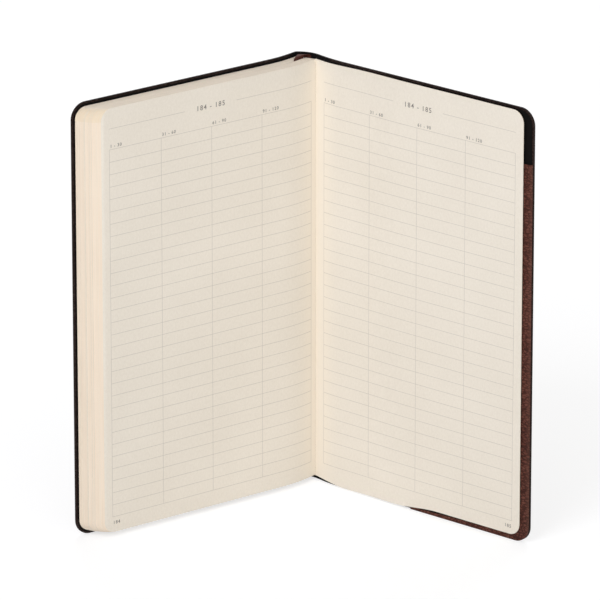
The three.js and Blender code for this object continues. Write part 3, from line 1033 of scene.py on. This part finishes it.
# Numbers
def print_text(name, text, size, place, align, body, page):
    """Plain numbers on a page. place is from the outer edge and the head. page is its line, its
    outer edge along it, its height beside it and the way along it that the text reads."""
    curve = bpy.data.curves.new(name, "FONT")
    curve.body = text
    curve.size = size
    curve.align_x = align
    curve.space_character = LETTER_SPACING
    curve.offset = LETTER_WEIGHT
    curve.resolution_u = 3
    holder = bpy.data.objects.new(name + "_text", curve)
    bpy.context.scene.collection.objects.link(holder)
    bpy.context.view_layer.update()
    data = bpy.data.meshes.new_from_object(holder)
    bpy.data.objects.remove(holder)
    line, edge, height, way = page
    co = np.array([v.co for v in data.vertices])
    s = edge - place[0] + way * co[:, 0]
    z = PAGE_HEAD - place[1] + co[:, 1]
    rise = pocket_rise(s) if line is back else 0 * s
    spots = line.at(s, rise + height + INK_HEIGHT)
    data.vertices.foreach_set("co", (np.c_[spots, z] * METRE).astype(np.float32).ravel())
    data.materials.clear()
    data.materials.append(ink)
    data.update()
    piece = bpy.data.objects.new(name, data)
    bpy.context.scene.collection.objects.link(piece)
    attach(piece, body)


def print_page(side, body, page, number, outer, columns, inset):
    """columns are the places of the captions, in reading order, and inset is from each of them."""
    place = (COLUMNS[0] + COLUMNS[-1]) / 2, HEADER + TITLE_DROP
    print_text(f"{side}_heading", "184 - 185", TITLE_SIZE, place, "CENTER", body, page)
    place = COLUMNS[0] + NUMBER_INSET, NUMBER_DOWN
    print_text(f"{side}_page_number", number, NUMBER_SIZE, place, outer, body, page)
    for c, column in enumerate(columns):
        caption = f"{ROWS * c + 1} - {ROWS * c + ROWS}"
        place = column + inset, TABLE_TOP - CAPTION_RISE
        print_text(f"{side}_column_{c + 1}", caption, CAPTION_SIZE, place, "LEFT", body, page)


left_side = (front, float(front_edge(left_page)), left_page, -1)
right_side = (back, back_edge, right_page, 1)
print_page("left", "left_leaf", left_side, "184", "LEFT", COLUMNS[:-1], CAPTION_INSET)
print_page("right", "right_leaf", right_side, "185", "RIGHT", COLUMNS[:0:-1], -CAPTION_INSET)


# Carried-over nodes
def finish_node(name, material):
    frame["nodes"][name].data.materials.clear()
    frame["nodes"][name].data.materials.append(material)


lining, thread = lining_material(), thread_material()
finish_node("front_pastedown", black)
finish_node("back_pastedown", black)
finish_node("spine_lining", lining)
for name in frame["nodes"]:
    if name.startswith("sewing_thread"):
        finish_node(name, thread)


# Studio
def seen_rays(tree):
    """1 for a ray that shows the background: from the camera, or by way of gloss or glass."""
    path = tree.nodes.new("ShaderNodeLightPath")
    total = path.outputs["Is Camera Ray"]
    for kind in ("Is Glossy Ray", "Is Transmission Ray"):
        either = tree.nodes.new("ShaderNodeMath")
        either.operation = "MAXIMUM"
        tree.links.new(total, either.inputs[0])
        tree.links.new(path.outputs[kind], either.inputs[1])
        total = either.outputs[0]
    return total


def by_ray(tree, kind, lighting, seen):
    """Mixes what lights the object with what is seen behind it, and puts that out."""
    out = tree.nodes.new(kind)
    mix = tree.nodes.new("ShaderNodeMixShader")
    tree.links.new(seen_rays(tree), mix.inputs[0])
    tree.links.new(lighting.outputs[0], mix.inputs[1])
    tree.links.new(seen.outputs[0], mix.inputs[2])
    tree.links.new(mix.outputs[0], out.inputs[0])


def shader(tree, kind, colour, strength=None):
    node = tree.nodes.new(kind)
    node.inputs[0].default_value = (colour, colour, colour, 1)
    if strength is not None:
        node.inputs[1].default_value = strength
    return node


def build_floor():
    """A white floor that keeps the object's shadow."""
    half = 3.0  # metres
    square = [(-half, -half, 0), (half, -half, 0), (half, half, 0), (-half, half, 0)]
    data = bpy.data.meshes.new("floor")
    data.from_pydata(square, [], [(0, 1, 2, 3)])
    floor = bpy.data.objects.new("floor", data)
    floor.location.z = -0.1 * METRE
    bpy.context.scene.collection.objects.link(floor)
    material = bpy.data.materials.new("floor_white")
    material.use_nodes = True
    tree = material.node_tree
    tree.nodes.clear()
    lighting = shader(tree, "ShaderNodeBsdfDiffuse", 0.9)
    matt = shader(tree, "ShaderNodeBsdfDiffuse", 0.45)
    glow = shader(tree, "ShaderNodeEmission", 1, 0.65)
    seen = tree.nodes.new("ShaderNodeAddShader")
    tree.links.new(matt.outputs[0], seen.inputs[0])
    tree.links.new(glow.outputs[0], seen.inputs[1])
    by_ray(tree, "ShaderNodeOutputMaterial", lighting, seen)
    data.materials.append(material)


def build_world():
    world = bpy.data.worlds.new("studio")
    bpy.context.scene.world = world
    world.use_nodes = True
    tree = world.node_tree
    tree.nodes.clear()
    soft = shader(tree, "ShaderNodeBackground", 1, 0.36)
    white = shader(tree, "ShaderNodeBackground", 1, 1.0)
    by_ray(tree, "ShaderNodeOutputWorld", soft, white)


# Name, place and size in metres, power in watts and colour
LAMPS = (
    ("front", (0.1, -2.4, 0.45), 1.5, 19.8, (1, 1, 1)),
    ("key", (-0.75, -1.15, 1.25), 0.9, 11.6, (0.97, 0.99, 1.05)),
    ("fill", (1.1, -1.0, 0.7), 1.2, 3.0, (1, 1, 1)),
    ("back", (0.2, 1.2, 1.4), 1.2, 10.0, (1, 1, 1)),
)
LAMP_TARGET = Vector((0, 0.01, 0.1))


def build_lamps():
    for name, place, size, power, colour in LAMPS:
        light = bpy.data.lights.new(name, "AREA")
        light.energy, light.size, light.color = power, size, colour
        lamp = bpy.data.objects.new(name, light)
        lamp.location = place
        towards = LAMP_TARGET - Vector(place)
        lamp.rotation_euler = towards.to_track_quat("-Z", "Y").to_euler()
        bpy.context.scene.collection.objects.link(lamp)


# The photograph's view, from a fit to its edges
CAMERA_DISTANCE, CAMERA_PITCH = 3403.0, 19.51
CAMERA_TARGET = (2.3, 1.7, 88.7)  # from the foot of the front hinge
FOCAL_PIXELS, IMAGE_PIXELS, SENSOR = 7110.0, 600, 36


def build_camera():
    """Far away, looking down on the object, and level from side to side."""
    data = bpy.data.cameras.new("camera")
    data.sensor_width = SENSOR
    data.lens = FOCAL_PIXELS / IMAGE_PIXELS * SENSOR
    data.clip_start, data.clip_end = 0.1, 20
    camera = bpy.data.objects.new("camera", data)
    pitch = math.radians(CAMERA_PITCH)
    across, deep = FRONT_HINGE + CAMERA_TARGET[:2]
    up = CAMERA_TARGET[2]
    back_off, raise_by = CAMERA_DISTANCE * math.cos(pitch), CAMERA_DISTANCE * math.sin(pitch)
    camera.location = np.array((across, deep - back_off, up + raise_by)) * METRE
    camera.rotation_euler = (math.pi / 2 - pitch, 0, 0)
    bpy.context.scene.collection.objects.link(camera)
    bpy.context.scene.camera = camera


build_floor()
build_world()
build_lamps()
build_camera()
bpy.context.scene.view_settings.view_transform = "Standard"
